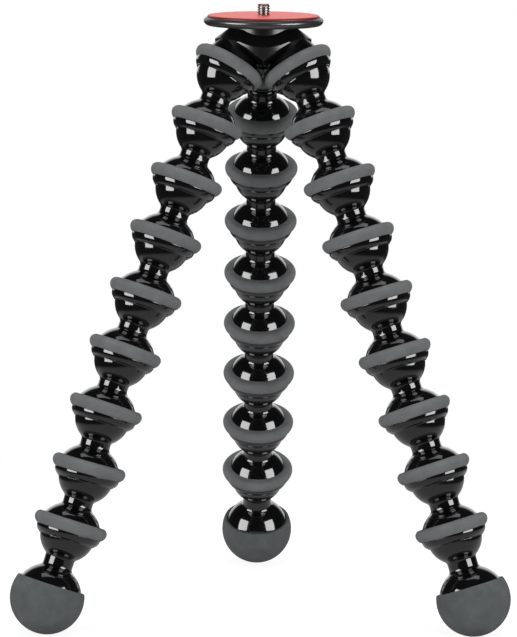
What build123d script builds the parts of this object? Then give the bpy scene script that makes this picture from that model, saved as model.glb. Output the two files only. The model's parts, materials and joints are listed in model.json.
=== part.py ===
from build123d import *
from math import acos, cos, degrees, pi, radians, sin, sqrt
import os

# A flexible camera stand: three legs of ball joints under a round camera platform.
# Lengths are millimetres. The stand is 0 high at the floor, and the front is towards -Y.

# Ball and neck. Each piece of a leg has a ball on top and a socket, or a foot, below.
links_per_leg = 8           # a ninth ball carries the foot
ball_radius = 13.7
ball_wall = 2.4
ball_opening_height = 8.0   # the open top of the hollow ball, above its centre
neck_radius = 7.4
neck_wall = 2.4             # round the hollow that runs on from the ball into the neck
neck_web = 2.4              # what closes the neck below its hollow
neck_length = 4.17          # from the ball to the dome of the socket below
neck_blend = 2.0            # between the ball and the neck
dome_blend = 2.4            # between the neck and the dome below it

# Socket. Heights are above the centre of the ball that it holds.
joint_gap = 0.1             # running fit between ball and socket
socket_wall = 2.3           # the dome over the ball
socket_mouth_depth = 2.8    # below the centre, so that the mouth holds the ball in
socket_lip_wall = 0.3       # outside the ball's widest, at the very mouth
socket_lip_height = 0.3     # plain band at the very mouth
collar_step = 0.15          # the collar stands out of the dome
collar_bulge_inset = 0.4    # and is drawn in again from the dome's radius, where it curves most
collar_bulge_height = -0.8
seat_step = 0.8             # the seat of the rubber grip is cut into the dome
seat_height = 1.5
grip_inner_inset = 2.0      # where the dome comes out of the grip, in from the dome's radius

# Rubber grip ring. The rises lead up its outside from the seat, each from the one before.
grip_thickness = 2.35       # outside the dome's radius, at the ring's widest
grip_foot_step = 0.25       # the ring's foot stands out of the collar
grip_lower_inset = 0.45     # insets are from the ring's widest
grip_lower_rise = 1.65
grip_widest_rise = 1.75
grip_shoulder_inset = 0.85
grip_shoulder_rise = 2.04
grip_top_inset = 1.89       # from here the top runs straight in to the lip
grip_top_rise = 0.67
grip_lip_step = 0.2         # from the inner edge out to the lip
grip_lip_cover = 0.3        # the lip's height above the dome

# Foot: a rubber boot pulled over a moulded dome
foot_neck_length = 5.58     # from the last ball to the foot's dome
boot_radius = 18.4
boot_wall = 1.5
boot_rim_height = 6.8       # above the centre of the foot
boot_rim_round = 0.5
foot_dome_wall = 2.4
dome_skirt_depth = 7.0      # the open lower edge of the dome, below the foot centre

# Hub. Heights are above the underside of the platform.
hub_collar_radius = 17.2
hub_collar_depth = 5.0
hub_shoulder_top = -1.3
hub_shoulder_run = 6.8      # the shoulder's slope: out
hub_shoulder_fall = 5.3     # and down
hub_face_top = -3.8         # the sloped faces between the legs start here
hub_depth = 34.6            # blank below the platform, before the arms' faces are cut
hub_edge_round = 0.5        # where the slanted faces meet the shoulders and each other
edge_search_share = 0.01    # of that round: how near a face an edge lies that runs along it
socket_side_gap = 0.82      # on each side, between the rings if the hub's sockets hung straight down
socket_1_height = -23.65    # of the first ball centres
socket_1_tilt = 34.5        # of the hub's sockets, away from straight down
arm_face_height = 12.8      # from the first ball centres square to the hub's slanted faces
arm_face_tilt = 42.0
arm_root_radius = 10.6      # the sockets' stubs narrow as they run into the hub
arm_root_height = 14.5

# Platform. Heights are above its underside, and insets are from its widest.
platform_radius = 29.8
platform_widest_height = 2.5
platform_flat_inset = 3.2
platform_edge_inset = 0.8
platform_edge_low = 0.75
platform_bevel_inset = 0.45
platform_bevel_drop = 0.55  # below the rim
platform_rim_inset = 1.5
platform_rim_height = 4.0

# Pad and camera screw
pad_margin = 0.3            # the rim round the pad
pad_recess = 1.6            # how deep the pad sits in the platform
pad_thickness = 2.8
pad_edge_round = 1.1
screw_radius = 3.175        # of the threaded end, a standard quarter inch
screw_relief = 0.575        # the shank below the pad's top is thinner, so that it turns freely
screw_reach = 5.5           # above the pad
screw_chamfer = 0.5
screw_hole_gap = 0.15
screw_head_radius = 7.0
screw_head_height = 1.3
head_gap = 0.1

# The stance: how far each piece leans out from straight down, from the hub to the foot.
# The first pieces of the right and rear legs lean as much as it takes to stand all three feet level.
left_tilt_degrees = [22.7, 22.6, 22.7, 21.7, 22.5, 20.7, 17.7, 20.1, 20.7]
right_lower_tilt_degrees = [22.4, 20.9, 20.6, 20.6, 22.3, 21.4, 20.1, 20.0]
rear_lower_tilt_degrees = [19.4, 19.9, 20.7, 21.5, 22.0, 21.9, 23.9, 21.7]
rear_azimuth = 90.0         # the other legs stand evenly round the hub
legs = ["left", "right", "rear"]


def height_on_sphere(radius, across):
    """The height at which a sphere about the origin is as wide as across."""
    return sqrt(radius**2 - across**2)


# Worked out from the sizes above: the chain
socket_radius = ball_radius + joint_gap
dome_radius = socket_radius + socket_wall
neck_core_radius = neck_radius - neck_wall
neck_start = height_on_sphere(ball_radius, neck_radius)
pitch = neck_start + neck_length + height_on_sphere(dome_radius, neck_radius)
mouth_radius = height_on_sphere(socket_radius, socket_mouth_depth)
socket_lip_radius = socket_radius + socket_lip_wall
collar_radius = dome_radius + collar_step
collar_bulge_radius = dome_radius - collar_bulge_inset
seat_radius = dome_radius - seat_step
grip_inner_radius = dome_radius - grip_inner_inset
grip_radius = dome_radius + grip_thickness
grip_lip_radius = grip_inner_radius + grip_lip_step
grip_lower_height = seat_height + grip_lower_rise
grip_widest_height = grip_lower_height + grip_widest_rise
grip_shoulder_height = grip_widest_height + grip_shoulder_rise
grip_top_height = grip_shoulder_height + grip_top_rise
boot_seat_radius = boot_radius - boot_wall
dome_hollow_radius = boot_seat_radius - foot_dome_wall
foot_reach = neck_start + foot_neck_length + height_on_sphere(boot_seat_radius, neck_radius)

# Worked out: the hub and what it carries
hub_radius = hub_collar_radius + hub_shoulder_run
hub_shoulder_bottom = hub_shoulder_top - hub_shoulder_fall
socket_1_radius = (grip_radius + socket_side_gap) / sin(pi / len(legs))
pad_radius = platform_radius - platform_rim_inset - pad_margin
pad_seat_height = platform_rim_height - pad_recess
pad_top_height = pad_seat_height + pad_thickness
screw_top_height = pad_top_height + screw_reach
leg_turn = 360 / len(legs)
leg_azimuths = {leg: rear_azimuth + leg_turn * n for n, leg in enumerate(legs, start=1)}
face_azimuths = [azimuth + leg_turn / 2 for azimuth in leg_azimuths.values()]


def drop(tilts):
    """How far a run of pieces goes down from its first ball centre to the foot centre."""
    links = sum(pitch * cos(radians(tilt)) for tilt in tilts[:-1])
    return links + foot_reach * cos(radians(tilts[-1]))


def levelled(lower_tilts):
    """All leans of a leg whose first piece takes up what the others leave, so the feet stand level."""
    first = degrees(acos((drop(left_tilt_degrees) - drop(lower_tilts)) / pitch))
    return [first] + lower_tilts


tilts_of = {
    "left": left_tilt_degrees,
    "right": levelled(right_lower_tilt_degrees),
    "rear": levelled(rear_lower_tilt_degrees),
}


def outward(azimuth):
    """The level direction from the hub's axis to a leg."""
    return Vector(cos(radians(azimuth)), sin(radians(azimuth)), 0)


def along(azimuth, tilt):
    """The direction down a piece that leans out by tilt."""
    down = Vector(0, 0, -1)
    return outward(azimuth) * sin(radians(tilt)) + down * cos(radians(tilt))


def foot_from_axis(leg):
    """Where the centre of a foot stands, level with the floor and seen from the hub's axis."""
    tilts = tilts_of[leg]
    links = sum(pitch * sin(radians(tilt)) for tilt in tilts[:-1])
    reach = socket_1_radius + links + foot_reach * sin(radians(tilts[-1]))
    return outward(leg_azimuths[leg]) * reach


def hub_place():
    """The centre of the platform's underside: the box round the whole stand is centred on the origin."""
    height = boot_radius + drop(left_tilt_degrees) - socket_1_height
    feet = [foot_from_axis(leg) for leg in legs]
    across = [foot.X for foot in feet]
    ahead = [foot.Y for foot in feet]
    return Vector(-(min(across) + max(across)) / 2, -(min(ahead) + max(ahead)) / 2, height)


hub_centre = hub_place()


def first_ball_centre(azimuth):
    """The centre of the hub's socket for one leg."""
    return hub_centre + outward(azimuth) * socket_1_radius + Vector(0, 0, socket_1_height)


def piece_frame(centre, azimuth, tilt):
    """The place of a piece: its ball centre, with Z up along the piece and X across the leg."""
    up = along(azimuth, tilt) * -1
    across = outward(azimuth + 90)
    return Location(Plane(origin=centre, x_dir=across, z_dir=up))


def leg_frames(leg):
    """The places of a leg's pieces, from the first link to the foot."""
    azimuth = leg_azimuths[leg]
    centre = first_ball_centre(azimuth)
    frames = []
    for tilt in tilts_of[leg]:
        frames.append(piece_frame(centre, azimuth, tilt))
        centre = centre + along(azimuth, tilt) * pitch
    return frames


def turned(edges, rounds=()):
    """The solid that an outline of radius and height makes about Z, with corners rounded first."""
    outline = make_face(Curve() + edges)
    for corner, radius in rounds:
        nearest = outline.vertices().sort_by_distance(Vector(*corner, 0))[0]
        outline = fillet(nearest, radius)
    return revolve(Plane.XZ * outline, Axis.Z)


def chain(*points):
    """Straight edges from point to point."""
    return [Line(a, b) for a, b in zip(points, points[1:])]


neck_top = (neck_radius, -neck_start)


def neck_foot(radius, centre):
    """Where the neck meets a dome of that radius round the height centre, as a corner."""
    return (neck_radius, centre + height_on_sphere(radius, neck_radius))


def dome_arc(radius, centre, end_radius):
    """The outline of a dome, from the neck out to where it is as wide as end_radius."""
    middle = (neck_radius + end_radius) / 2
    return ThreePointArc(
        neck_foot(radius, centre),
        (middle, centre + height_on_sphere(radius, middle)),
        (end_radius, centre + height_on_sphere(radius, end_radius)),
    )


def ball_outline(core_floor, neck_end):
    """The hollow ball and its neck, from the floor of the hollow round to the neck's end."""
    cavity_radius = ball_radius - ball_wall
    core_top = -height_on_sphere(cavity_radius, neck_core_radius)
    inner_rim = (height_on_sphere(cavity_radius, ball_opening_height), ball_opening_height)
    outer_rim = (height_on_sphere(ball_radius, ball_opening_height), ball_opening_height)
    core_edge = (neck_core_radius, core_top)
    return [
        *chain((0, core_floor), (neck_core_radius, core_floor), core_edge),
        ThreePointArc(core_edge, (cavity_radius, 0), inner_rim),
        Line(inner_rim, outer_rim),
        ThreePointArc(outer_rim, (ball_radius, 0), neck_top),
        Line(neck_top, neck_end),
    ]


def socket_outline(centre):
    """The outside of a socket, from where the dome goes in under the grip down to the mouth."""
    dome_end = (grip_inner_radius, centre + height_on_sphere(dome_radius, grip_inner_radius))
    seat_top = (seat_radius, centre + height_on_sphere(dome_radius, seat_radius))
    seat_low = (seat_radius, centre + seat_height)
    collar = (collar_radius, centre + seat_height)
    bulge = (collar_bulge_radius, centre + collar_bulge_height)
    lip = (socket_lip_radius, centre - socket_mouth_depth + socket_lip_height)
    mouth_outer = (socket_lip_radius, centre - socket_mouth_depth)
    mouth_inner = (mouth_radius, centre - socket_mouth_depth)
    return [
        *chain(dome_end, seat_top, seat_low, collar),
        ThreePointArc(collar, bulge, lip),
        *chain(lip, mouth_outer, mouth_inner),
    ]


def link():
    """One link: a hollow ball, a neck and the socket that holds the next ball."""
    core_floor = socket_radius + neck_web - pitch
    mouth_inner = (mouth_radius, -pitch - socket_mouth_depth)
    side = (socket_radius, -pitch)
    roof = (0, socket_radius - pitch)
    neck_end = neck_foot(dome_radius, -pitch)
    return turned(
        ball_outline(core_floor, neck_end)
        + [dome_arc(dome_radius, -pitch, grip_inner_radius)]
        + socket_outline(-pitch)
        + [ThreePointArc(mouth_inner, side, roof), Line(roof, (0, core_floor))],
        [(neck_top, neck_blend), (neck_end, dome_blend)],
    )


def grip(centre):
    """The rubber ring round a socket, whose ball centre is at the height centre."""
    inner_lip = (grip_inner_radius, centre + height_on_sphere(dome_radius, grip_inner_radius))
    seat_top = (seat_radius, centre + height_on_sphere(dome_radius, seat_radius))
    seat_low = (seat_radius, centre + seat_height)
    foot = (collar_radius + grip_foot_step, centre + seat_height)
    lower = (grip_radius - grip_lower_inset, centre + grip_lower_height)
    widest = (grip_radius, centre + grip_widest_height)
    shoulder = (grip_radius - grip_shoulder_inset, centre + grip_shoulder_height)
    top = (grip_radius - grip_top_inset, centre + grip_top_height)
    lip_height = height_on_sphere(dome_radius, grip_lip_radius) + grip_lip_cover
    lip = (grip_lip_radius, centre + lip_height)
    return turned(
        chain(top, lip, inner_lip, seat_top, seat_low, foot)
        + [ThreePointArc(foot, lower, widest), ThreePointArc(widest, shoulder, top)]
    )


def foot_stem():
    """The last piece of a leg: a ball, a neck and the dome that fills the boot."""
    core_floor = dome_hollow_radius + neck_web - foot_reach
    neck_end = neck_foot(boot_seat_radius, -foot_reach)
    skirt_radius = height_on_sphere(boot_seat_radius, dome_skirt_depth)
    skirt_outer = (skirt_radius, -foot_reach - dome_skirt_depth)
    hollow_edge = height_on_sphere(dome_hollow_radius, dome_skirt_depth)
    skirt_inner = (hollow_edge, -foot_reach - dome_skirt_depth)
    roof = (0, dome_hollow_radius - foot_reach)
    return turned(
        ball_outline(core_floor, neck_end)
        + [
            ThreePointArc(neck_end, (boot_seat_radius, -foot_reach), skirt_outer),
            Line(skirt_outer, skirt_inner),
            ThreePointArc(skirt_inner, (dome_hollow_radius, -foot_reach), roof),
            Line(roof, (0, core_floor)),
        ],
        [(neck_top, neck_blend), (neck_end, dome_blend)],
    )


def foot_boot():
    """The rubber boot that the stand rests on."""
    inner_radius = height_on_sphere(boot_seat_radius, boot_rim_height)
    outer_radius = height_on_sphere(boot_radius, boot_rim_height)
    inner_rim = (inner_radius, boot_rim_height - foot_reach)
    outer_rim = (outer_radius, boot_rim_height - foot_reach)
    inner_base = (0, -foot_reach - boot_seat_radius)
    outer_base = (0, -foot_reach - boot_radius)
    return turned(
        [
            ThreePointArc(inner_rim, (boot_seat_radius, -foot_reach), inner_base),
            Line(inner_base, outer_base),
            ThreePointArc(outer_base, (boot_radius, -foot_reach), outer_rim),
            Line(outer_rim, inner_rim),
        ],
        [(outer_rim, boot_rim_round)],
    )


def socket_blank():
    """A hub socket without its hollow, run up into the hub."""
    mouth = -socket_mouth_depth
    root = (arm_root_radius, arm_root_height)
    dome_start = (grip_inner_radius, height_on_sphere(dome_radius, grip_inner_radius))
    return turned(
        chain((0, mouth), (0, arm_root_height), root, dome_start)
        + socket_outline(0)
        + [Line((mouth_radius, mouth), (0, mouth))]
    )


def hub_shoulders():
    """The hub's shoulders: a cone with a sloped face between each two legs."""
    blank = turned(
        chain(
            (0, -hub_depth),
            (hub_radius, -hub_depth),
            (hub_radius, hub_shoulder_bottom),
            (hub_collar_radius, hub_shoulder_top),
            (0, hub_shoulder_top),
            (0, -hub_depth),
        )
    )
    blank = Location(hub_centre) * blank
    for azimuth in face_azimuths:
        start = hub_centre + outward(azimuth) * hub_collar_radius + Vector(0, 0, hub_face_top)
        normal = outward(azimuth) * hub_shoulder_fall + Vector(0, 0, hub_shoulder_run)
        blank = split(blank, bisect_by=Plane(origin=start, z_dir=normal), keep=Keep.BOTTOM)
    return blank


def arm_face_planes():
    """The slanted planes that the legs' sockets come out of, facing up into the hub."""
    planes = []
    for azimuth in leg_azimuths.values():
        up = along(azimuth, arm_face_tilt) * -1
        planes.append(Plane(origin=first_ball_centre(azimuth) + up * arm_face_height, z_dir=up))
    return planes


def cut_arm_faces(solid):
    """Cut the slanted faces, then round every edge that runs along one of them."""
    close = hub_edge_round * edge_search_share
    for plane in arm_face_planes():
        solid = split(solid, bisect_by=plane, keep=Keep.TOP)
    ridges = [
        edge
        for edge in solid.edges()
        if any(abs(plane.to_local_coords(edge @ 0.5).Z) < close for plane in arm_face_planes())
    ]
    return fillet(ridges, hub_edge_round)


def hub_casting():
    """The hub: collar, shoulders and three sockets, in one casting."""
    top_centre = (Align.CENTER, Align.CENTER, Align.MAX)
    collar = Cylinder(hub_collar_radius, hub_collar_depth, align=top_centre)
    body = cut_arm_faces(hub_shoulders()) + Location(hub_centre) * collar
    for azimuth in leg_azimuths.values():
        frame = piece_frame(first_ball_centre(azimuth), azimuth, socket_1_tilt)
        body = body + frame * socket_blank()
    for azimuth in leg_azimuths.values():
        body = body - Location(first_ball_centre(azimuth)) * Sphere(socket_radius)
    return body


def hub_grips():
    """The rubber rings of the hub's own three sockets."""
    frames = [
        piece_frame(first_ball_centre(azimuth), azimuth, socket_1_tilt)
        for azimuth in leg_azimuths.values()
    ]
    return Compound(children=[frame * grip(0) for frame in frames])


def camera_platform():
    """The round platform, with a recess for the pad and a pocket for the screw's head."""
    hole = screw_radius + screw_hole_gap
    pocket = screw_head_radius + head_gap
    pocket_roof = screw_head_height + head_gap
    flat = (platform_radius - platform_flat_inset, 0)
    edge = (platform_radius - platform_edge_inset, platform_edge_low)
    widest = (platform_radius, platform_widest_height)
    bevel = (platform_radius - platform_bevel_inset, platform_rim_height - platform_bevel_drop)
    rim = (platform_radius - platform_rim_inset, platform_rim_height)
    return turned(
        chain((pocket, 0), flat)
        + [ThreePointArc(flat, edge, widest), ThreePointArc(widest, bevel, rim)]
        + chain(
            rim,
            (pad_radius, platform_rim_height),
            (pad_radius, pad_seat_height),
            (hole, pad_seat_height),
            (hole, pocket_roof),
            (pocket, pocket_roof),
            (pocket, 0),
        )
    )


def platform_pad():
    """The soft pad that the camera is screwed down on."""
    hole = screw_radius + screw_hole_gap
    top_edge = (pad_radius, pad_top_height)
    return turned(
        chain(
            (hole, pad_seat_height),
            (pad_radius, pad_seat_height),
            top_edge,
            (hole, pad_top_height),
            (hole, pad_seat_height),
        ),
        [(top_edge, pad_edge_round)],
    )


def camera_screw():
    """The screw that goes up into the camera, with its head held under the platform."""
    shank_radius = screw_radius - screw_relief
    return turned(
        chain(
            (0, 0),
            (screw_head_radius, 0),
            (screw_head_radius, screw_head_height),
            (shank_radius, screw_head_height),
            (shank_radius, pad_top_height),
            (screw_radius, pad_top_height),
            (screw_radius, screw_top_height - screw_chamfer),
            (screw_radius - screw_chamfer, screw_top_height),
            (0, screw_top_height),
            (0, 0),
        )
    )


def build():
    """Every piece of the stand, by name."""
    on_hub = Location(hub_centre)
    pieces = {
        "hub_casting": hub_casting(),
        "hub_grips": hub_grips(),
        "camera_platform": on_hub * camera_platform(),
        "platform_pad": on_hub * platform_pad(),
        "camera_screw": on_hub * camera_screw(),
    }
    one_link = link()
    one_grip = grip(-pitch)
    one_stem = foot_stem()
    one_boot = foot_boot()
    for leg in legs:
        frames = leg_frames(leg)
        for number, frame in enumerate(frames[:links_per_leg], start=1):
            pieces[f"{leg}_link_{number}"] = frame * one_link
            pieces[f"{leg}_grip_{number}"] = frame * one_grip
        pieces[f"{leg}_foot_stem"] = frames[links_per_leg] * one_stem
        pieces[f"{leg}_foot_boot"] = frames[links_per_leg] * one_boot
    return pieces


os.makedirs("parts", exist_ok=True)
for name, piece in build().items():
    export_step(piece, f"parts/{name}.step")
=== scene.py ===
import json
from math import atan2, ceil, cos, pi, radians, sin, sqrt, tan, tau

import bmesh
import bpy
from mathutils import Matrix, Vector


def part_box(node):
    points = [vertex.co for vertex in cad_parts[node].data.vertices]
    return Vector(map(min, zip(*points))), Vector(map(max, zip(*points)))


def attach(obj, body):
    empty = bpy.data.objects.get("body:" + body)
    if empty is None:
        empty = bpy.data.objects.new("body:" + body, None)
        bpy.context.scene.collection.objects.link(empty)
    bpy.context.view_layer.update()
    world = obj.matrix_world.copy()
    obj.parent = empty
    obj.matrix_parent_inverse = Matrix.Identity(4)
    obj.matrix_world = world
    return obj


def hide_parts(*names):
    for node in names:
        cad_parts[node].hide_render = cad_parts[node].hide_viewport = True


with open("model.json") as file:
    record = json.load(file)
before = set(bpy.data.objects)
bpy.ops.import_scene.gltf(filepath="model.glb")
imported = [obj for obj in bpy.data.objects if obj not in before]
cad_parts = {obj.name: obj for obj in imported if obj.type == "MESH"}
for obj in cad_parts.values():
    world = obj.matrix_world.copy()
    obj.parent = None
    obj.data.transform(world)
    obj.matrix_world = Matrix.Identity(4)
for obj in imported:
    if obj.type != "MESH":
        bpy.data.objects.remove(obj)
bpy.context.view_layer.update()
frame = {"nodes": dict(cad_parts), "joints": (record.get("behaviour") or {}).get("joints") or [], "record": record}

# A flexible camera stand in its photographed stance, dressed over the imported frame.
# Lengths are metres. The front is towards -Y, and the floor is at height 0.
mm = 0.001

# Chain of ball joints, as the frame has it
ball_radius = 13.7 * mm
ball_wall = 2.4 * mm
ball_opening_height = 8.0 * mm
neck_radius = 7.4 * mm
neck_core_radius = 5.0 * mm
neck_web = 2.4 * mm
neck_blend = 2.0 * mm
dome_blend = 2.4 * mm
joint_gap = 0.1 * mm
dome_radius = 16.1 * mm
socket_mouth_depth = 2.8 * mm
socket_lip_radius = 14.1 * mm
socket_lip_height = 0.3 * mm
collar_radius = 16.25 * mm
collar_bulge_radius = 15.7 * mm
collar_bulge_height = -0.8 * mm
seat_radius = 15.3 * mm
seat_height = 1.5 * mm
moulded_edge = 0.22 * mm        # rounding of the outer edges of plastic and metal

# Rubber ring
grip_inner_radius = 14.1 * mm
grip_radius = 18.45 * mm
grip_widest_height = 4.9 * mm
grip_foot_radius = 16.5 * mm
grip_lower_radius = 18.0 * mm
grip_lower_height = 3.15 * mm
grip_shoulder_radius = 17.6 * mm
grip_shoulder_height = 6.94 * mm
grip_top_radius = 16.56 * mm
grip_top_height = 7.61 * mm
grip_lip_radius = 14.3 * mm
grip_lip_height = 7.7 * mm
rubber_edge = 0.3 * mm          # rounding of the rubber's small edges

# Foot
foot_reach = 32.303 * mm
boot_radius = 18.4 * mm
boot_wall = 1.5 * mm
boot_rim_height = 6.8 * mm
boot_rim_round = 0.5 * mm
dome_wall = 2.4 * mm
dome_skirt_depth = 7.0 * mm

# Hub. The lower edge of its satin faces is given from the hub's top.
hub_arms = 3
hub_socket_tilt = radians(34.5)
face_side_height = -7.9 * mm    # beside the arms
face_tip_height = -18.9 * mm    # at the tip of the V
face_fade = (-1.0 * mm, 0.5 * mm)       # gloss turns to satin between these, across that edge

# Platform, pad and screw. Heights are above the underside of the platform.
platform_radius = 29.8 * mm
platform_flat_radius = 26.6 * mm
platform_widest_height = 2.5 * mm
platform_edge_radius = 29.0 * mm
platform_edge_low = 0.75 * mm
platform_bevel_radius = 29.35 * mm
platform_bevel_height = 3.45 * mm
platform_rim_radius = 28.3 * mm
platform_rim_height = 4.0 * mm
pad_radius = 28.0 * mm
pad_seat_height = 2.4 * mm
pad_top_height = 5.2 * mm
pad_edge_round = 1.1 * mm
pad_painted_shade_line = 0.2 * mm        # width of the line round the pad where its painted shade is darkest
screw_radius = 3.175 * mm
screw_shank_radius = 2.6 * mm
screw_top_height = 10.7 * mm
screw_chamfer = 0.5 * mm
screw_hole_gap = 0.15 * mm
screw_head_radius = 7.0 * mm
screw_head_height = 1.3 * mm
head_gap = 0.1 * mm
thread_pitch = 1.27 * mm
thread_depth = 0.62 * mm
thread_crest = thread_pitch / 8         # its flat outer edge

# How finely the pieces are made
facets_round = 80
facets_platform = 160
facets_thread = 48
arc_step = radians(6)
corner_steps = 4
corner_share = 0.45             # the most of a run that the rounding at its end takes
hold = 0.12 * mm                # a ring of points beside each rounded edge keeps flats flat
weld_distance = 0.001 * mm
cut_distance = 0.0001 * mm

# Patterns of the materials. Scales are for coordinates in metres.
grain_scale = 2600.0
grain_pits = 0.5                # share of the pits in the grain's height
mottle_scale = 140.0
rubber_roughness = 0.78
rubber_roughness_range = 0.15
smudge_scale = 60.0
smudge_range = (0.42, 0.72)     # parts of the smudges' noise that show
smudge_dulling = 2.0            # how much rougher gloss is where it is smudged
wear_range = (0.4, 0.62)        # parts of the same noise that break up worn edges
wave_scale = 170.0
wave_depth = 0.02 * mm
ring_scale = 420.0
ring_depth = 0.004 * mm
ring_roughness_range = 0.1

# Floor and surroundings. A level of 1 shows as white, and the floor's pairs run outwards.
floor_radius = 8.0
floor_sides = 96
floor_grey = 0.35               # near the feet, as the camera sees it
floor_glow = 0.9
floor_fade = (0.17, 0.42)       # distances from the middle between which it turns white
floor_plain_grey = 0.3          # as matt surfaces see it
floor_plain_glow = 0.25
floor_gloss_glow = (0.36, 0.03)         # as gloss shows it
floor_gloss_fade = (0.3, 0.5)
window_edge = (0.72, 0.88)      # cosines of the angle from straight behind the stand
window_level = (0.02, 1.0)      # outside the window and in it
fill_level = (0.0, 0.3)         # from the side away from the fill's direction to the one in it
fill_direction = (0, -0.95, -0.31)

# Lamps: sizes and distances in metres, angles in degrees, brightness as seen directly
lamp_azimuths = {"left": -57, "right": 53}
lamp_distance = 2.0
softbox_elevation = 12
softbox_size = (1.3, 1.4)
softbox_brightness = 6.8
low_light_elevation = 0
low_light_size = (1.3, 0.26)
low_light_brightness = 22.0
overhead_size = (1.1, 0.5)
overhead_height = 1.5
overhead_panel_brightness = 1.2
overhead_fill_brightness = 11.0

# Photograph: its size in pixels, and the camera that took it in metres, radians and pixels
photo_width = 517
photo_height = 637
camera_ahead = 2.11136          # in front of the hub's axis
camera_height = 0.44885
camera_tilt = 0.1412
camera_turn = -0.0118
camera_roll = 0.0079
camera_nearest = 0.05
camera_farthest = 50
focal_pixels = 4252.35
principal_x = 261.2
principal_y = 318.4
long_side_mm = 36.0

screw_mount = next(m for m in frame["record"]["mounts"] if m["name"] == "camera_screw")
hub_x, hub_y = screw_mount["pos_m"][:2]
platform_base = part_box("camera_screw")[0].z
hub_foot = Vector((hub_x, hub_y, 0))
hub_top = Vector((hub_x, hub_y, platform_base))
legs = ("left", "right", "rear")


# Outlines: lists of (radius, height, rounding) read from the axis outwards and round

def arc(start, through, end):
    """Points of the circle through three points, from start to end."""
    ax, az = start
    bx, bz = through
    cx, cz = end
    d = 2 * (ax * (bz - cz) + bx * (cz - az) + cx * (az - bz))
    a2, b2, c2 = ax**2 + az**2, bx**2 + bz**2, cx**2 + cz**2
    x = (a2 * (bz - cz) + b2 * (cz - az) + c2 * (az - bz)) / d
    z = (a2 * (cx - bx) + b2 * (ax - cx) + c2 * (bx - ax)) / d
    radius = sqrt((ax - x) ** 2 + (az - z) ** 2)
    first = atan2(az - z, ax - x)
    middle = (atan2(bz - z, bx - x) - first) % tau
    last = (atan2(cz - z, cx - x) - first) % tau
    sweep = last if middle < last else last - tau
    steps = max(2, ceil(abs(sweep) / arc_step))
    angles = [first + sweep * n / steps for n in range(steps + 1)]
    return [(x + radius * cos(a), z + radius * sin(a), 0) for a in angles]


def rounded(outline, closed):
    """The outline as (radius, height, wear), with a short worn arc at each rounded corner."""
    points = []
    for n, (x, z, rounding) in enumerate(outline):
        if not rounding or (not closed and n in (0, len(outline) - 1)):
            points.append((x, z, 0.0))
            continue
        here = Vector((x, z))
        after = outline[(n + 1) % len(outline)]
        to_before = Vector(outline[n - 1][:2]) - here
        to_after = Vector(after[:2]) - here
        room = min(to_before.length, to_after.length)
        to_before.normalize()
        to_after.normalize()
        half = to_before.angle(to_after) / 2
        reach = min(rounding / tan(half), room * corner_share)
        centre = here + (to_before + to_after).normalized() * reach / cos(half)
        start, end = here + to_before * reach, here + to_after * reach
        radius = (start - centre).length
        held = reach + hold < room / 2
        if held:
            points.append((*(start + to_before * hold), 0.0))
        for step in range(corner_steps + 1):
            spoke = (start - centre).lerp(end - centre, step / corner_steps).normalized()
            points.append((*(centre + spoke * radius), 1.0))
        if held:
            points.append((*(end + to_after * hold), 0.0))
    return points


def on_sphere(radius, across):
    """The height at which a sphere is as wide as across."""
    return sqrt(radius**2 - across**2)


def neck_arc(radius, centre, blend, side):
    """The small arc between the neck and a sphere. Side is 1 for a sphere below it, or -1."""
    x = neck_radius + blend
    z = centre + side * on_sphere(radius + blend, x)
    share = radius / (radius + blend)
    on_round = (x * share, centre + (z - centre) * share)
    on_neck = (neck_radius, z)
    spoke = (Vector(on_round) + Vector(on_neck)) / 2 - Vector((x, z))
    middle = Vector((x, z)) + spoke.normalized() * blend
    return arc(on_round, middle, on_neck) if side < 0 else arc(on_neck, middle, on_round)


def sphere_arc(radius, centre, first, last):
    """Points over the top of a sphere, between the places where it is as wide as first and last."""
    middle = (first + last) / 2
    return arc(*((x, centre + on_sphere(radius, x)) for x in (first, middle, last)))


def ball_outline(core_floor):
    """The hollow ball and the upper end of its neck."""
    cavity = ball_radius - ball_wall
    core_top = (neck_core_radius, -on_sphere(cavity, neck_core_radius))
    inner_rim = (on_sphere(cavity, ball_opening_height), ball_opening_height)
    outer_rim = (on_sphere(ball_radius, ball_opening_height), ball_opening_height)
    blend = neck_arc(ball_radius, 0, neck_blend, -1)
    return (
        [(0, core_floor, 0), (neck_core_radius, core_floor, 0)]
        + arc(core_top, (cavity, 0), inner_rim)
        + arc(outer_rim, (ball_radius, 0), blend[0][:2])[:-1]
        + blend
    )


def socket_outline(centre):
    """A socket's outside below its dome, its collar and mouth, and its round inside."""
    socket_radius = ball_radius + joint_gap
    mouth = centre - socket_mouth_depth
    mouth_radius = on_sphere(socket_radius, socket_mouth_depth)
    collar = (collar_radius, centre + seat_height)
    lip = (socket_lip_radius, mouth + socket_lip_height)
    bulge = arc(collar, (collar_bulge_radius, centre + collar_bulge_height), lip)
    return (
        [
            (seat_radius, centre + on_sphere(dome_radius, seat_radius), 0),
            (seat_radius, centre + seat_height, 0),
            (*collar, moulded_edge),
        ]
        + bulge[1:]
        + [(socket_lip_radius, mouth, moulded_edge)]
        + arc((mouth_radius, mouth), (socket_radius, centre), (0, centre + socket_radius))
    )


def link_outline():
    """One link: a hollow ball, a neck and a domed socket for the next ball."""
    core_floor = ball_radius + joint_gap + neck_web - pitch
    blend = neck_arc(dome_radius, -pitch, dome_blend, 1)
    dome = sphere_arc(dome_radius, -pitch, blend[-1][0], grip_inner_radius)
    return ball_outline(core_floor) + blend[:-1] + dome + socket_outline(-pitch)


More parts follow.
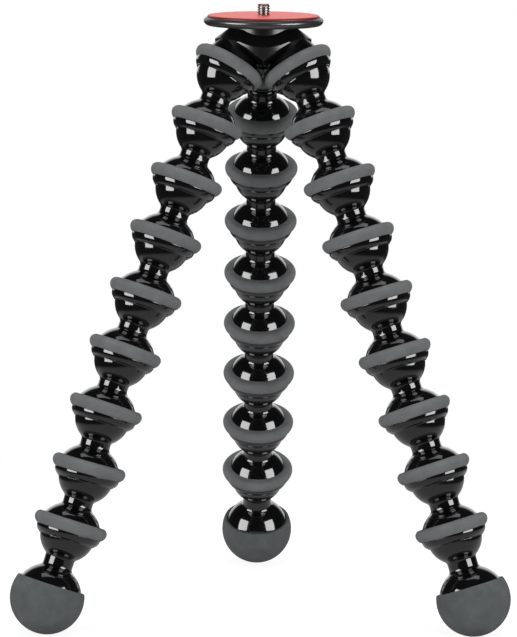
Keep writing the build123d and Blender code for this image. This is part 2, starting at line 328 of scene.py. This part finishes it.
def grip_outline(centre):
    """The rubber ring round a socket."""
    foot = (grip_foot_radius, centre + seat_height)
    lower = (grip_lower_radius, centre + grip_lower_height)
    widest = (grip_radius, centre + grip_widest_height)
    shoulder = (grip_shoulder_radius, centre + grip_shoulder_height)
    top = (grip_top_radius, centre + grip_top_height)
    return (
        [
            (grip_inner_radius, centre + on_sphere(dome_radius, grip_inner_radius), 0),
            (seat_radius, centre + on_sphere(dome_radius, seat_radius), 0),
            (seat_radius, centre + seat_height, 0),
            (*foot, rubber_edge),
        ]
        + arc(foot, lower, widest)[1:-1]
        + arc(widest, shoulder, top)
        + [(grip_lip_radius, centre + grip_lip_height, 0)]
    )


def stem_outline():
    """The last piece of a leg: a ball, a neck and the dome inside the boot."""
    seat = boot_radius - boot_wall
    hollow = seat - dome_wall
    skirt = -foot_reach - dome_skirt_depth
    skirt_outer = (on_sphere(seat, dome_skirt_depth), skirt)
    skirt_inner = (on_sphere(hollow, dome_skirt_depth), skirt)
    blend = neck_arc(seat, -foot_reach, dome_blend, 1)
    return (
        ball_outline(hollow + neck_web - foot_reach)
        + blend[:-1]
        + arc(blend[-1][:2], (seat, -foot_reach), skirt_outer)
        + arc(skirt_inner, (hollow, -foot_reach), (0, hollow - foot_reach))
    )


def boot_outline():
    """The rubber boot: a thick skin from its inner base round the rim to its outer base."""
    inner = boot_radius - boot_wall
    rim = boot_rim_height - foot_reach
    inner_rim = (on_sphere(inner, boot_rim_height), rim)
    outer_rim = (on_sphere(boot_radius, boot_rim_height), rim)
    inside = arc((0, -foot_reach - inner), (inner, -foot_reach), inner_rim)
    outside = arc(outer_rim, (boot_radius, -foot_reach), (0, -foot_reach - boot_radius))
    return inside[:-1] + [(*inner_rim, rubber_edge), (*outer_rim, boot_rim_round)] + outside[1:]


def platform_outline():
    """The dished platform: from its pocket out to the rim, and in to the screw's hole."""
    hole = screw_radius + screw_hole_gap
    pocket = screw_head_radius + head_gap
    roof = screw_head_height + head_gap
    flat = (platform_flat_radius, 0)
    widest = (platform_radius, platform_widest_height)
    rim = (platform_rim_radius, platform_rim_height)
    return (
        [(pocket, 0, 0)]
        + arc(flat, (platform_edge_radius, platform_edge_low), widest)[:-1]
        + arc(widest, (platform_bevel_radius, platform_bevel_height), rim)[:-1]
        + [
            (*rim, moulded_edge),
            (pad_radius, platform_rim_height, moulded_edge),
            (pad_radius, pad_seat_height, 0),
            (hole, pad_seat_height, 0),
            (hole, roof, 0),
            (pocket, roof, 0),
        ]
    )


def pad_outline():
    """The soft pad, with a rounded top edge and a hole for the screw."""
    hole = screw_radius + screw_hole_gap
    return [
        (hole, pad_seat_height, 0),
        (pad_radius, pad_seat_height, 0),
        (pad_radius, pad_top_height, pad_edge_round),
        (hole, pad_top_height, rubber_edge),
    ]


def screw_body_outline():
    """The screw below its thread: a flat head and a plain shank."""
    return [
        (0, 0, 0),
        (screw_head_radius, 0, moulded_edge),
        (screw_head_radius, screw_head_height, moulded_edge),
        (screw_shank_radius, screw_head_height, 0),
        (screw_shank_radius, pad_top_height, 0),
        (0, pad_top_height, 0),
    ]


# Meshes

def turned(outline, closed=False, facets=facets_round):
    """A mesh of an outline turned about Z. The point attribute worn is 1 on rounded edges."""
    bm = bmesh.new()
    worn = bm.verts.layers.float.new("worn")
    points = []
    for x, z, wear in rounded(outline, closed):
        point = bm.verts.new((x, 0, z))
        point[worn] = wear
        points.append(point)
    edges = [bm.edges.new(pair) for pair in zip(points, points[1:])]
    if closed:
        edges.append(bm.edges.new((points[-1], points[0])))
    bmesh.ops.spin(
        bm,
        geom=points + edges,
        cent=(0, 0, 0),
        axis=(0, 0, 1),
        dvec=(0, 0, 0),
        angle=tau,
        steps=facets,
        use_merge=True,
        use_duplicate=False,
    )
    bmesh.ops.remove_doubles(bm, verts=bm.verts, dist=weld_distance)
    bmesh.ops.recalc_face_normals(bm, faces=bm.faces)
    return bm


def add_object(name, data):
    """A new object in the scene, for a mesh, a lamp or a camera."""
    obj = bpy.data.objects.new(name, data)
    bpy.context.scene.collection.objects.link(obj)
    return obj


def piece(name, bm, place, body, slot, material, *nodes):
    """One finished piece: its place goes into its mesh, and it rides on a body of the frame."""
    mesh = bpy.data.meshes.new(name)
    bm.transform(place)
    for face in bm.faces:
        face.smooth = True
    bm.to_mesh(mesh)
    bm.free()
    mesh.materials.append(material)
    obj = add_object(name, mesh)
    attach(obj, body)
    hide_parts(*nodes)
    return obj


# Places

def outward(leg):
    """The level direction from the hub's axis to a leg."""
    first = Vector(centres[leg][0]) - hub_top
    first.z = 0
    return first.normalized()


def place_along(top, bottom, leg):
    """The place of a piece whose ball centre is top and which runs down to bottom."""
    up = (top - bottom).normalized()
    across = Vector((0, 0, 1)).cross(outward(leg))
    forward = up.cross(across)
    place = Matrix((across, forward, up)).transposed().to_4x4()
    place.translation = top
    return place


def ball_centres(leg):
    """The centres of a leg's nine balls, from the hub down."""
    joints = [j for j in frame["joints"] if j["name"].startswith(leg)]
    return [Vector(j["pos_m"]) for j in joints]


def foot_centre(leg):
    """The centre of the round foot, which rests on the floor."""
    last = centres[leg][-1]
    fall = last.z - boot_radius
    out = sqrt(foot_reach**2 - fall**2)
    return last + outward(leg) * out - Vector((0, 0, fall))


def hub_socket_axis(leg):
    """The direction down the hub's socket for one leg."""
    return outward(leg) * sin(hub_socket_tilt) - Vector((0, 0, cos(hub_socket_tilt)))


centres = {leg: ball_centres(leg) for leg in legs}
pitch = (centres["left"][0] - centres["left"][1]).length


# Shader nodes

mix_sockets = {"FLOAT": (2, 3, 0), "RGBA": (6, 7, 2)}   # a Mix node's two inputs and its result


def add_node(tree, kind, values=(), **settings):
    """A node with its settings made and its unlinked inputs filled by name."""
    node = tree.nodes.new(kind)
    for key, value in settings.items():
        setattr(node, key, value)
    for key, value in dict(values).items():
        node.inputs[key].default_value = value
    return node


def feed(tree, value, socket):
    """Gives an input another node's output to follow, or a plain value."""
    if isinstance(value, bpy.types.NodeSocket):
        tree.links.new(value, socket)
    else:
        socket.default_value = value


def calculated(tree, operation, *values):
    """The result of a Math node."""
    node = add_node(tree, "ShaderNodeMath", operation=operation)
    for value, socket in zip(values, node.inputs):
        feed(tree, value, socket)
    return node.outputs[0]


def measured(tree, operation, *vectors):
    """The number that a Vector Math node gives, such as a length."""
    node = add_node(tree, "ShaderNodeVectorMath", operation=operation)
    for vector, socket in zip(vectors, node.inputs):
        feed(tree, vector, socket)
    return node.outputs["Value"]


def remapped(tree, value, before, after=(0.0, 1.0), interpolation="LINEAR"):
    """A number taken from one range to another, and held inside it."""
    ranges = {"From Min": before[0], "From Max": before[1], "To Min": after[0], "To Max": after[1]}
    node = add_node(tree, "ShaderNodeMapRange", ranges, interpolation_type=interpolation)
    tree.links.new(value, node.inputs["Value"])
    return node.outputs[0]


def spread(tree, mask, low, high):
    """A number that goes from low to high with a mask."""
    return remapped(tree, mask, (0.0, 1.0), (low, high))


def mixed(tree, kind, factor, first, second):
    """The mix of two numbers or two colours."""
    node = add_node(tree, "ShaderNodeMix", data_type=kind)
    first_input, second_input, result = mix_sockets[kind]
    feed(tree, factor, node.inputs[0])
    feed(tree, first, node.inputs[first_input])
    feed(tree, second, node.inputs[second_input])
    return node.outputs[result]


def tint(tree, mask, low, high):
    """A colour that goes from low to high with a mask."""
    return mixed(tree, "RGBA", mask, (*low, 1), (*high, 1))


def object_coordinates(tree, origin=None, scale=(1, 1, 1)):
    """Object coordinates, counted from a point where one is given."""
    place = add_node(tree, "ShaderNodeTexCoord").outputs["Object"]
    if origin is None:
        return place
    centred = add_node(tree, "ShaderNodeMapping", {"Location": -origin, "Scale": scale})
    tree.links.new(place, centred.inputs["Vector"])
    return centred.outputs[0]


def bump(tree, shader, height, distance):
    """Relief on a shader, with its depth in metres."""
    relief = add_node(tree, "ShaderNodeBump", {"Strength": 1.0, "Distance": distance})
    tree.links.new(height, relief.inputs["Height"])
    tree.links.new(relief.outputs[0], shader.inputs["Normal"])


# Effects that more than one material uses

def new_group(name, inputs, outputs):
    """An empty shader node group with named number inputs and outputs."""
    group = bpy.data.node_groups.new(name, "ShaderNodeTree")
    for direction, labels in (("INPUT", inputs), ("OUTPUT", outputs)):
        for label in labels:
            group.interface.new_socket(label, in_out=direction, socket_type="NodeSocketFloat")
    return group, group.nodes.new("NodeGroupInput"), group.nodes.new("NodeGroupOutput")


def use_group(tree, group, values):
    """A group placed in a material, with its inputs set by name."""
    node = tree.nodes.new("ShaderNodeGroup")
    node.node_tree = group
    for key, value in values.items():
        node.inputs[key].default_value = value
    return node


def rubber_grain_group():
    """Fine moulded grain of the rubber: a height for bump and a slow mottle for colour."""
    scales, outputs = ("Grain Scale", "Mottle Scale"), ("Height", "Mottle")
    group, given, result = new_group("rubber_grain", scales, outputs)
    place = object_coordinates(group)
    grain = add_node(group, "ShaderNodeTexNoise", {"Detail": 3.0, "Roughness": 0.65})
    pits = add_node(group, "ShaderNodeTexVoronoi", {"Randomness": 1.0}, feature="F1")
    mottle = add_node(group, "ShaderNodeTexNoise", {"Detail": 4.0, "Roughness": 0.6})
    for node, scale in ((grain, "Grain Scale"), (pits, "Grain Scale"), (mottle, "Mottle Scale")):
        group.links.new(place, node.inputs["Vector"])
        group.links.new(given.outputs[scale], node.inputs["Scale"])
    pit_height = pits.outputs["Distance"]
    height = calculated(group, "MULTIPLY_ADD", pit_height, grain_pits, grain.outputs[0])
    group.links.new(height, result.inputs["Height"])
    group.links.new(mottle.outputs[0], result.inputs["Mottle"])
    return group


def handling_group():
    """Traces of handling: soft smudges and the wear of rounded edges."""
    group, given, result = new_group("handling", ("Smudge Scale",), ("Smudge", "Edge"))
    smudge = add_node(group, "ShaderNodeTexNoise", {"Detail": 3.0, "Distortion": 0.6})
    group.links.new(object_coordinates(group), smudge.inputs["Vector"])
    group.links.new(given.outputs["Smudge Scale"], smudge.inputs["Scale"])
    soft = remapped(group, smudge.outputs[0], smudge_range)
    group.links.new(soft, result.inputs["Smudge"])

    worn = add_node(group, "ShaderNodeAttribute", attribute_name="worn")
    broken = remapped(group, smudge.outputs[0], wear_range)
    edge = calculated(group, "MULTIPLY", worn.outputs["Fac"], broken)
    group.links.new(edge, result.inputs["Edge"])
    return group


def moulding_wave_group():
    """The slow, very shallow wave of a moulded or painted surface."""
    group, given, result = new_group("moulding_wave", ("Wave Scale",), ("Height",))
    wave = add_node(group, "ShaderNodeTexNoise", {"Detail": 1.0})
    group.links.new(object_coordinates(group), wave.inputs["Vector"])
    group.links.new(given.outputs["Wave Scale"], wave.inputs["Scale"])
    group.links.new(wave.outputs[0], result.inputs["Height"])
    return group


def turned_rings_group():
    """The fine rings that turning leaves about the hub's axis."""
    group, given, result = new_group("turned_rings", ("Ring Scale",), ("Rings",))
    rings = add_node(
        group,
        "ShaderNodeTexWave",
        {"Distortion": 0.4},
        wave_type="RINGS",
        rings_direction="Z",
    )
    group.links.new(object_coordinates(group, hub_foot), rings.inputs["Vector"])
    group.links.new(given.outputs["Ring Scale"], rings.inputs["Scale"])
    group.links.new(rings.outputs["Fac"], result.inputs["Rings"])
    return group


rubber_grain = rubber_grain_group()
handling = handling_group()
moulding_wave = moulding_wave_group()
turned_rings = turned_rings_group()


# Materials

def new_material(name, values=()):
    """A material, its nodes and its Principled shader, with the shader's plain values set."""
    material = bpy.data.materials.new(name)
    material.use_nodes = True
    tree = material.node_tree
    shader = tree.nodes["Principled BSDF"]
    for key, value in dict(values).items():
        shader.inputs[key].default_value = value
    return material, tree, shader


def gloss_plastic(name, colour, worn_colour, roughness):
    """High-gloss black: deep, nearly mirror smooth, a little duller where handled."""
    coat = {"Coat Weight": 1.0, "Coat Roughness": 0.03}
    material, tree, shader = new_material(name, coat)
    marks = use_group(tree, handling, {"Smudge Scale": smudge_scale})
    wave = use_group(tree, moulding_wave, {"Wave Scale": wave_scale})
    base = tint(tree, marks.outputs["Edge"], colour, worn_colour)
    rough = spread(tree, marks.outputs["Smudge"], roughness, roughness * smudge_dulling)
    tree.links.new(base, shader.inputs["Base Color"])
    tree.links.new(rough, shader.inputs["Roughness"])
    bump(tree, shader, wave.outputs["Height"], wave_depth)
    return material


def rubber(name, dark, light, grain_depth, roughness=rubber_roughness):
    """Matt rubber with a fine grain and a slow mottle."""
    material, tree, shader = new_material(name, {"Specular IOR Level": 0.4})
    scales = {"Grain Scale": grain_scale, "Mottle Scale": mottle_scale}
    grain = use_group(tree, rubber_grain, scales)
    base = tint(tree, grain.outputs["Mottle"], dark, light)
    roughest = roughness + rubber_roughness_range
    rough = spread(tree, grain.outputs["Height"], roughness, roughest)
    tree.links.new(base, shader.inputs["Base Color"])
    tree.links.new(rough, shader.inputs["Roughness"])
    bump(tree, shader, grain.outputs["Height"], grain_depth)
    return material


def turned_metal(name, colour, worn_colour, metallic, roughness):
    """Lathe-turned metal: fine rings about the hub's axis, brighter on worn edges."""
    material, tree, shader = new_material(name, {"Metallic": metallic})
    marks = use_group(tree, handling, {"Smudge Scale": smudge_scale})
    rings = use_group(tree, turned_rings, {"Ring Scale": ring_scale})
    base = tint(tree, marks.outputs["Edge"], colour, worn_colour)
    roughest = roughness + ring_roughness_range
    rough = spread(tree, rings.outputs["Rings"], roughness, roughest)
    tree.links.new(base, shader.inputs["Base Color"])
    tree.links.new(rough, shader.inputs["Roughness"])
    bump(tree, shader, rings.outputs["Rings"], ring_depth)
    return material


def hub_paint(name, colour, worn_colour, roughness, face_roughness):
    """The casting's black: glossy on the sockets, satin on the faces above the V-shaped edges."""
    material = gloss_plastic(name, colour, worn_colour, roughness)
    tree = material.node_tree
    shader = tree.nodes["Principled BSDF"]
    parts = add_node(tree, "ShaderNodeSeparateXYZ")
    tree.links.new(object_coordinates(tree, hub_top), parts.inputs[0])
    azimuth = calculated(tree, "ARCTAN2", parts.outputs["Y"], parts.outputs["X"])
    wave = calculated(tree, "SINE", calculated(tree, "MULTIPLY", azimuth, hub_arms))
    edge_height = remapped(tree, wave, (-1.0, 1.0), (face_side_height, face_tip_height))
    above = calculated(tree, "SUBTRACT", parts.outputs["Z"], edge_height)
    satin = remapped(tree, above, face_fade)
    for label, gloss_value, satin_value in (
        ("Roughness", roughness, face_roughness),
        ("Coat Weight", 1.0, 0.0),
        ("Specular IOR Level", 0.5, 1.0),
    ):
        tree.links.new(spread(tree, satin, gloss_value, satin_value), shader.inputs[label])
    return material


def pad_rubber_and_painted_shade(name, dark, light, painted_shade_colour, grain_depth, roughness):
    """Red rubber with a faint grain, and a painted shade that darkens its rounded edge."""
    material = rubber(name, dark, light, grain_depth, roughness)
    tree = material.node_tree
    base = tree.nodes["Principled BSDF"].inputs["Base Color"]
    face_colour = base.links[0].from_socket
    # Painted shade: the colour turns dark across the rounded edge, going out from the axis.
    from_axis = measured(tree, "LENGTH", object_coordinates(tree, hub_foot, (1, 1, 0)))
    painted_shade_span = (pad_radius - pad_edge_round, pad_radius - pad_painted_shade_line)
    edge = remapped(tree, from_axis, painted_shade_span)
    tree.links.new(mixed(tree, "RGBA", edge, face_colour, (*painted_shade_colour, 1)), base)
    return material


gloss_black = gloss_plastic(
    "gloss_black_plastic",
    colour=(0.003, 0.003, 0.0034),
    worn_colour=(0.02, 0.02, 0.021),
    roughness=0.07,
)
hub_black = hub_paint(
    "hub_black_paint",
    colour=(0.004, 0.004, 0.0045),
    worn_colour=(0.03, 0.03, 0.031),
    roughness=0.08,
    face_roughness=0.3,
)
grip_rubber = rubber(
    "grip_ring_rubber",
    dark=(0.086, 0.091, 0.093),
    light=(0.172, 0.181, 0.184),
    grain_depth=0.06 * mm,
)
boot_rubber = rubber(
    "boot_rubber",
    dark=(0.050, 0.056, 0.057),
    light=(0.114, 0.122, 0.123),
    grain_depth=0.07 * mm,
)
pad_rubber = pad_rubber_and_painted_shade(
    "pad_rubber",
    dark=(0.74, 0.10, 0.085),
    light=(0.84, 0.14, 0.12),
    # the dark colour of the painted shade on the pad's rounded edge
    painted_shade_colour=(0.14, 0.01, 0.01),
    grain_depth=0.001 * mm,
    roughness=0.32,
)
platform_metal = turned_metal(
    "platform_metal",
    colour=(0.15, 0.15, 0.153),
    worn_colour=(0.3, 0.3, 0.3),
    metallic=0.9,
    roughness=0.27,
)
screw_steel = turned_metal(
    "screw_steel",
    colour=(0.36, 0.36, 0.355),
    worn_colour=(0.6, 0.6, 0.6),
    metallic=1.0,
    roughness=0.2,
)


# Pieces

def add_leg(leg):
    """The eight links, their rings and the foot of one leg."""
    points = centres[leg] + [foot_centre(leg)]
    for number, (top, bottom) in enumerate(zip(points[:-2], points[1:-1]), start=1):
        place = place_along(top, bottom, leg)
        link, grip = f"{leg}_link_{number}", f"{leg}_grip_{number}"
        moulding = turned(link_outline())
        piece(f"{link}_moulding", moulding, place, link, "gloss_black", gloss_black, link)
        ring = turned(grip_outline(-pitch), closed=True)
        piece(f"{grip}_rubber", ring, place, link, "grip_rubber", grip_rubber, grip)
    place = place_along(points[-2], points[-1], leg)
    foot, stem, boot = f"{leg}_foot", f"{leg}_foot_stem", f"{leg}_foot_boot"
    moulding = turned(stem_outline())
    piece(f"{stem}_moulding", moulding, place, foot, "gloss_black", gloss_black, stem)
    skin = turned(boot_outline())
    piece(f"{boot}_rubber", skin, place, foot, "boot_rubber", boot_rubber, boot)


def add_platform():
    """The round platform and its pad."""
    place = Matrix.Translation(hub_top)
    disc = turned(platform_outline(), closed=True, facets=facets_platform)
    piece("platform_disc", disc, place, "hub", "platform_black", platform_metal, "camera_platform")
    pad = turned(pad_outline(), closed=True, facets=facets_platform)
    piece("platform_pad_rubber", pad, place, "hub", "pad_red", pad_rubber, "platform_pad")


def threaded_end():
    """The screw's thread: one groove swept up and round, cut off level at both ends."""
    bm = bmesh.new()
    rise = screw_top_height - pad_top_height
    root = screw_radius - thread_depth
    profile = [
        (root, 0),
        (screw_radius, (thread_pitch - thread_crest) / 2),
        (screw_radius, (thread_pitch + thread_crest) / 2),
        (root, thread_pitch),
    ]
    turns = ceil(rise / thread_pitch) + 2       # one to spare below and one above
    points = [bm.verts.new((x, 0, z - thread_pitch)) for x, z in profile]
    edges = [bm.edges.new(pair) for pair in zip(points, points[1:])]
    bmesh.ops.spin(
        bm,
        geom=points + edges,
        cent=(0, 0, 0),
        axis=(0, 0, 1),
        dvec=(0, 0, thread_pitch / facets_thread),
        angle=tau * turns,
        steps=turns * facets_thread,
        use_merge=False,
        use_duplicate=False,
    )
    bmesh.ops.remove_doubles(bm, verts=bm.verts, dist=weld_distance)
    for height, upper in ((0, False), (rise, True)):
        bmesh.ops.bisect_plane(
            bm,
            geom=bm.verts[:] + bm.edges[:] + bm.faces[:],
            dist=cut_distance,
            plane_co=(0, 0, height),
            plane_no=(0, 0, 1),
            clear_outer=upper,
            clear_inner=not upper,
        )
    for point in bm.verts:
        widest = screw_radius - screw_chamfer + max(0, rise - point.co.z)
        across = point.co.xy.length
        if across > widest:
            point.co.xy *= widest / across
    rims = [edge for edge in bm.edges if edge.is_boundary]
    bmesh.ops.holes_fill(bm, edges=rims)
    bmesh.ops.recalc_face_normals(bm, faces=bm.faces)
    bm.verts.layers.float.new("worn")
    bmesh.ops.translate(bm, vec=(0, 0, pad_top_height), verts=bm.verts)
    return bm


def add_screw():
    """The camera screw: head and shank in one piece, and the thread above the pad."""
    place = Matrix.Translation(hub_top)
    body = turned(screw_body_outline())
    piece("camera_screw_body", body, place, "hub", "screw_steel", screw_steel, "camera_screw")
    thread = piece("camera_screw_thread", threaded_end(), place, "hub", "screw_steel", screw_steel)
    for face in thread.data.polygons:
        face.use_smooth = False


def add_hub():
    """The hub's own three rings, and the casting with its finish."""
    for leg in legs:
        top = centres[leg][0]
        ring = turned(grip_outline(0), closed=True)
        place = place_along(top, top + hub_socket_axis(leg), leg)
        piece(f"hub_grip_{leg}_rubber", ring, place, "hub", "grip_rubber", grip_rubber, "hub_grips")
    for finish in frame["nodes"]["hub_casting"].material_slots:
        finish.material = hub_black


# Stage

def add_floor():
    """A white floor that keeps a faint shadow near the feet and fades into white beyond."""
    bm = bmesh.new()
    bmesh.ops.create_circle(bm, cap_ends=True, segments=floor_sides, radius=floor_radius)
    mesh = bpy.data.meshes.new("studio_floor")
    bm.to_mesh(mesh)
    bm.free()
    floor = add_object("studio_floor", mesh)
    material, tree, shader = new_material("floor_white")
    tree.nodes.remove(shader)

    def glowing_matt(grey, level):
        matt = add_node(tree, "ShaderNodeBsdfDiffuse", {"Color": (grey, grey, grey, 1)})
        glow = add_node(tree, "ShaderNodeEmission", {"Strength": level})
        both = add_node(tree, "ShaderNodeAddShader")
        tree.links.new(matt.outputs[0], both.inputs[0])
        tree.links.new(glow.outputs[0], both.inputs[1])
        return both.outputs[0]

    def chosen(factor, first, second):
        choice = add_node(tree, "ShaderNodeMixShader")
        for socket, value in zip(choice.inputs, (factor, first, second)):
            tree.links.new(value, socket)
        return choice.outputs[0]

    distance = measured(tree, "LENGTH", object_coordinates(tree))
    path = add_node(tree, "ShaderNodeLightPath")
    white = add_node(tree, "ShaderNodeEmission", {"Strength": 1.0})
    fading = remapped(tree, distance, floor_fade, interpolation="SMOOTHSTEP")
    seen = chosen(fading, glowing_matt(floor_grey, floor_glow), white.outputs[0])
    in_gloss = add_node(tree, "ShaderNodeEmission")
    glow = remapped(tree, distance, floor_gloss_fade, floor_gloss_glow, "SMOOTHSTEP")
    tree.links.new(glow, in_gloss.inputs["Strength"])
    plain = glowing_matt(floor_plain_grey, floor_plain_glow)
    unseen = chosen(path.outputs["Is Glossy Ray"], plain, in_gloss.outputs[0])
    final = chosen(path.outputs["Is Camera Ray"], unseen, seen)
    tree.links.new(final, tree.nodes["Material Output"].inputs["Surface"])
    material.cycles.emission_sampling = "NONE"
    mesh.materials.append(material)


def add_world():
    """White where the camera sees it, a window behind the stand for gloss, and a soft fill."""
    world = bpy.data.worlds.new("studio")
    bpy.context.scene.world = world
    world.use_nodes = True
    world.cycles.sampling_method = "NONE"
    tree = world.node_tree
    sky = tree.nodes["Background"]
    sky.inputs["Color"].default_value = (1, 1, 1, 1)
    direction = add_node(tree, "ShaderNodeTexCoord").outputs["Generated"]
    path = add_node(tree, "ShaderNodeLightPath").outputs
    behind = measured(tree, "DOT_PRODUCT", direction, (0, 1, 0))
    window = remapped(tree, behind, window_edge, window_level)
    ahead = measured(tree, "DOT_PRODUCT", direction, fill_direction)
    fill = remapped(tree, ahead, (-1.0, 1.0), fill_level)
    soft = calculated(tree, "MAXIMUM", fill, window)
    shiny = calculated(tree, "MAXIMUM", path["Is Glossy Ray"], path["Is Transmission Ray"])
    unseen = mixed(tree, "FLOAT", shiny, soft, window)
    level = mixed(tree, "FLOAT", path["Is Camera Ray"], unseen, 1.0)
    tree.links.new(level, sky.inputs["Strength"])


def add_area_light(name, size, brightness, location):
    """A rectangular lamp that the camera doesn't see. Unturned, it shines straight down."""
    lamp = bpy.data.lights.new(name, "AREA")
    lamp.shape = "RECTANGLE"
    lamp.size, lamp.size_y = size
    lamp.energy = brightness * size[0] * size[1] * pi
    light = add_object(name, lamp)
    light.location = location
    light.visible_camera = False
    return light


def add_side_light(name, azimuth, elevation, size, brightness):
    """A lamp aimed at the middle of the stand."""
    a, e = radians(azimuth), radians(elevation)
    towards = Vector((sin(a) * cos(e), -cos(a) * cos(e), sin(e)))
    middle = Vector((hub_x, hub_y, platform_base / 2))
    light = add_area_light(name, size, brightness, middle + towards * lamp_distance)
    light.rotation_euler = towards.to_track_quat("Z", "Y").to_euler()
    return light


def add_side_lights():
    """On each side a softbox for gloss, and a low, wide lamp for matt surfaces."""
    for side, azimuth in lamp_azimuths.items():
        softbox = add_side_light(
            f"softbox_{side}", azimuth, softbox_elevation, softbox_size, softbox_brightness
        )
        softbox.visible_diffuse = False
        low_light = add_side_light(
            f"low_light_{side}", azimuth, low_light_elevation, low_light_size, low_light_brightness
        )
        low_light.visible_glossy = False


def add_overhead_lights():
    """A dim panel that shows in gloss on the tops of the domes, and a fill that doesn't."""
    above = hub_top + Vector((0, 0, overhead_height))
    add_area_light("overhead_panel", overhead_size, overhead_panel_brightness, above)
    fill = add_area_light("overhead_fill", overhead_size, overhead_fill_brightness, above)
    fill.visible_glossy = False


def add_camera():
    """The photograph's own camera."""
    turn = Matrix.Rotation(camera_turn, 3, "Z")
    ahead = turn @ Vector((0, cos(camera_tilt), -sin(camera_tilt)))
    above = turn @ Vector((0, sin(camera_tilt), cos(camera_tilt)))
    across = turn @ Vector((1, 0, 0))
    right = across * cos(camera_roll) + above * sin(camera_roll)
    up = above * cos(camera_roll) - across * sin(camera_roll)
    data = bpy.data.cameras.new("photo_camera")
    data.sensor_width = long_side_mm
    data.lens = long_side_mm * focal_pixels / photo_height
    data.shift_x = (photo_width / 2 - principal_x) / photo_height
    data.shift_y = (principal_y - photo_height / 2) / photo_height
    data.clip_start, data.clip_end = camera_nearest, camera_farthest
    camera = add_object("photo_camera", data)
    place = Matrix((right, up, -ahead)).transposed().to_4x4()
    base = Vector((hub_x, hub_y, camera_height))
    place.translation = base + turn @ Vector((0, -camera_ahead, 0))
    camera.matrix_world = place
    bpy.context.scene.camera = camera


for leg in legs:
    add_leg(leg)
add_hub()
add_platform()
add_screw()
add_floor()
add_world()
add_side_lights()
add_overhead_lights()
add_camera()

bpy.context.scene.view_settings.view_transform = "Standard"
